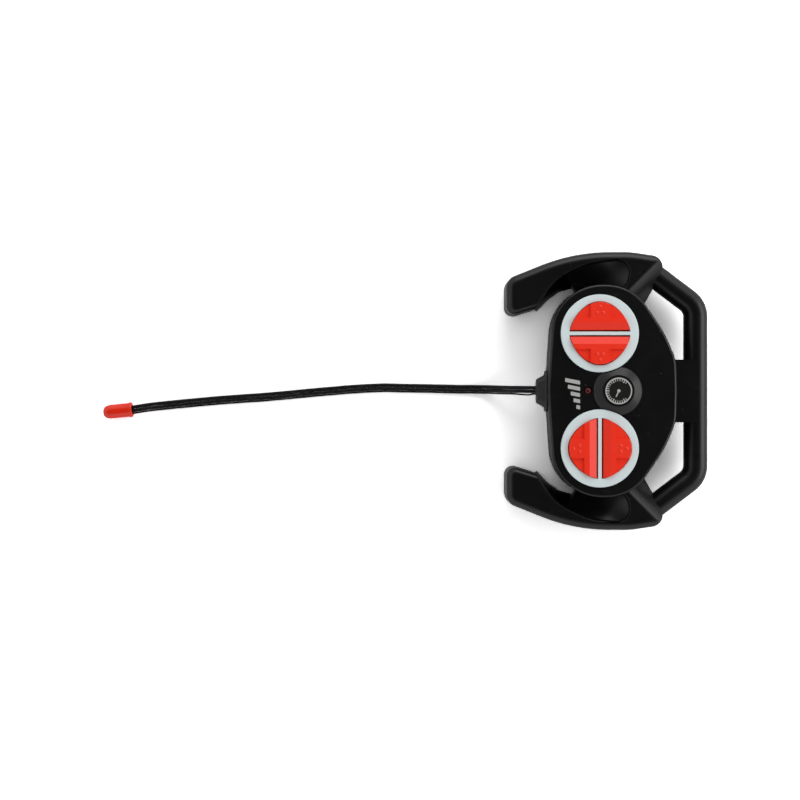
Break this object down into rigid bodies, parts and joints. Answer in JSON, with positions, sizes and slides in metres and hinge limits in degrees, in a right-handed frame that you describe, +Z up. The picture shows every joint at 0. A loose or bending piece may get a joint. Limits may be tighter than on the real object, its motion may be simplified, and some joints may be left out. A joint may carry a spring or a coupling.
{
  "type": "toy radio-control hand transmitter",
  "caption": "Steering-wheel-shaped toy radio transmitter with half-moon push buttons in two pale rings, a dial boss, wheel bar, sliding battery door and long soft antenna.",
  "frame": {"origin": "middle of the housing's footprint, on the surface that it lies on; the antenna is left out of that measure", "axes": "+X to the user's right across the grips, +Y forward along the antenna, +Z up out of the buttons"},
  "size_m": [0.15, 0.3314, 0.033],
  "materials": {
    "black_plastic": "satin moulded black",
    "pale_grey_plastic": "satin pale blue-grey",
    "red_plastic": "satin orange-red",
    "dial_print": "printed black disc with a white scale",
    "lamp_red": "clear dark red",
    "dark_grey_plastic": "matt dark grey",
    "lead_sheath": "soft black sheath",
    "cap_orange_red": "glossy orange-red",
    "board_tan": "phenolic board",
    "chip_black": "black moulding",
    "tinned_can": "tinned",
    "sleeve_blue": "shrink sleeve",
    "dome_grey": "silicone",
    "cell_wrap": "plain printed wrap",
    "contact_steel": "plated steel",
    "wire_red": "wire insulation"
  },
  "bodies": {
    "housing": {"top_shell": "black_plastic", "bottom_shell": "black_plastic", "left_bezel": "pale_grey_plastic", "right_bezel": "pale_grey_plastic", "gauge_dial": "dial_print", "status_lamp": "lamp_red", "antenna_base": "dark_grey_plastic", "antenna_lead": "lead_sheath", "antenna_cap": "cap_orange_red", "circuit_board": "board_tan", "encoder_chip": "chip_black", "crystal": "tinned_can", "coil_can": "tinned_can", "capacitor": "sleeve_blue", "forward_dome": "dome_grey", "reverse_dome": "dome_grey", "left_dome": "dome_grey", "right_dome": "dome_grey", "battery_front": "cell_wrap", "battery_rear": "cell_wrap", "plate_contact_front": "contact_steel", "plate_contact_rear": "contact_steel", "spring_contact_front": "contact_steel", "spring_contact_rear": "contact_steel", "battery_wire_red": "wire_red", "battery_wire_black": "chip_black", "antenna_wire": "chip_black", "housing_screw_front_left": "contact_steel", "housing_screw_front_right": "contact_steel", "housing_screw_rear_left": "contact_steel", "housing_screw_rear_right": "contact_steel", "housing_screw_grip_left": "contact_steel", "housing_screw_grip_right": "contact_steel", "board_screw_left": "contact_steel", "board_screw_right": "contact_steel"},
    "battery_door": {"battery_door": "black_plastic"},
    "forward_button": {"forward_button": "red_plastic"},
    "reverse_button": {"reverse_button": "red_plastic"},
    "left_button": {"left_button": "red_plastic"},
    "right_button": {"right_button": "red_plastic"}
  },
  "joints": [
    {"name": "battery_door_slide", "type": "slide", "parent": "housing", "child": "battery_door", "axis": [0, -1, 0], "range_m": [0, 0.04]},
    {"name": "forward_press", "type": "slide", "parent": "housing", "child": "forward_button", "axis": [0, 0, -1], "range_m": [0, 0.0015], "stiffness_N_per_m": 600, "deforming": ["forward_dome"]},
    {"name": "reverse_press", "type": "slide", "parent": "housing", "child": "reverse_button", "axis": [0, 0, -1], "range_m": [0, 0.0015], "stiffness_N_per_m": 600, "deforming": ["reverse_dome"]},
    {"name": "left_press", "type": "slide", "parent": "housing", "child": "left_button", "axis": [0, 0, -1], "range_m": [0, 0.0015], "stiffness_N_per_m": 600, "deforming": ["left_dome"]},
    {"name": "right_press", "type": "slide", "parent": "housing", "child": "right_button", "axis": [0, 0, -1], "range_m": [0, 0.0015], "stiffness_N_per_m": 600, "deforming": ["right_dome"]}
  ]
}
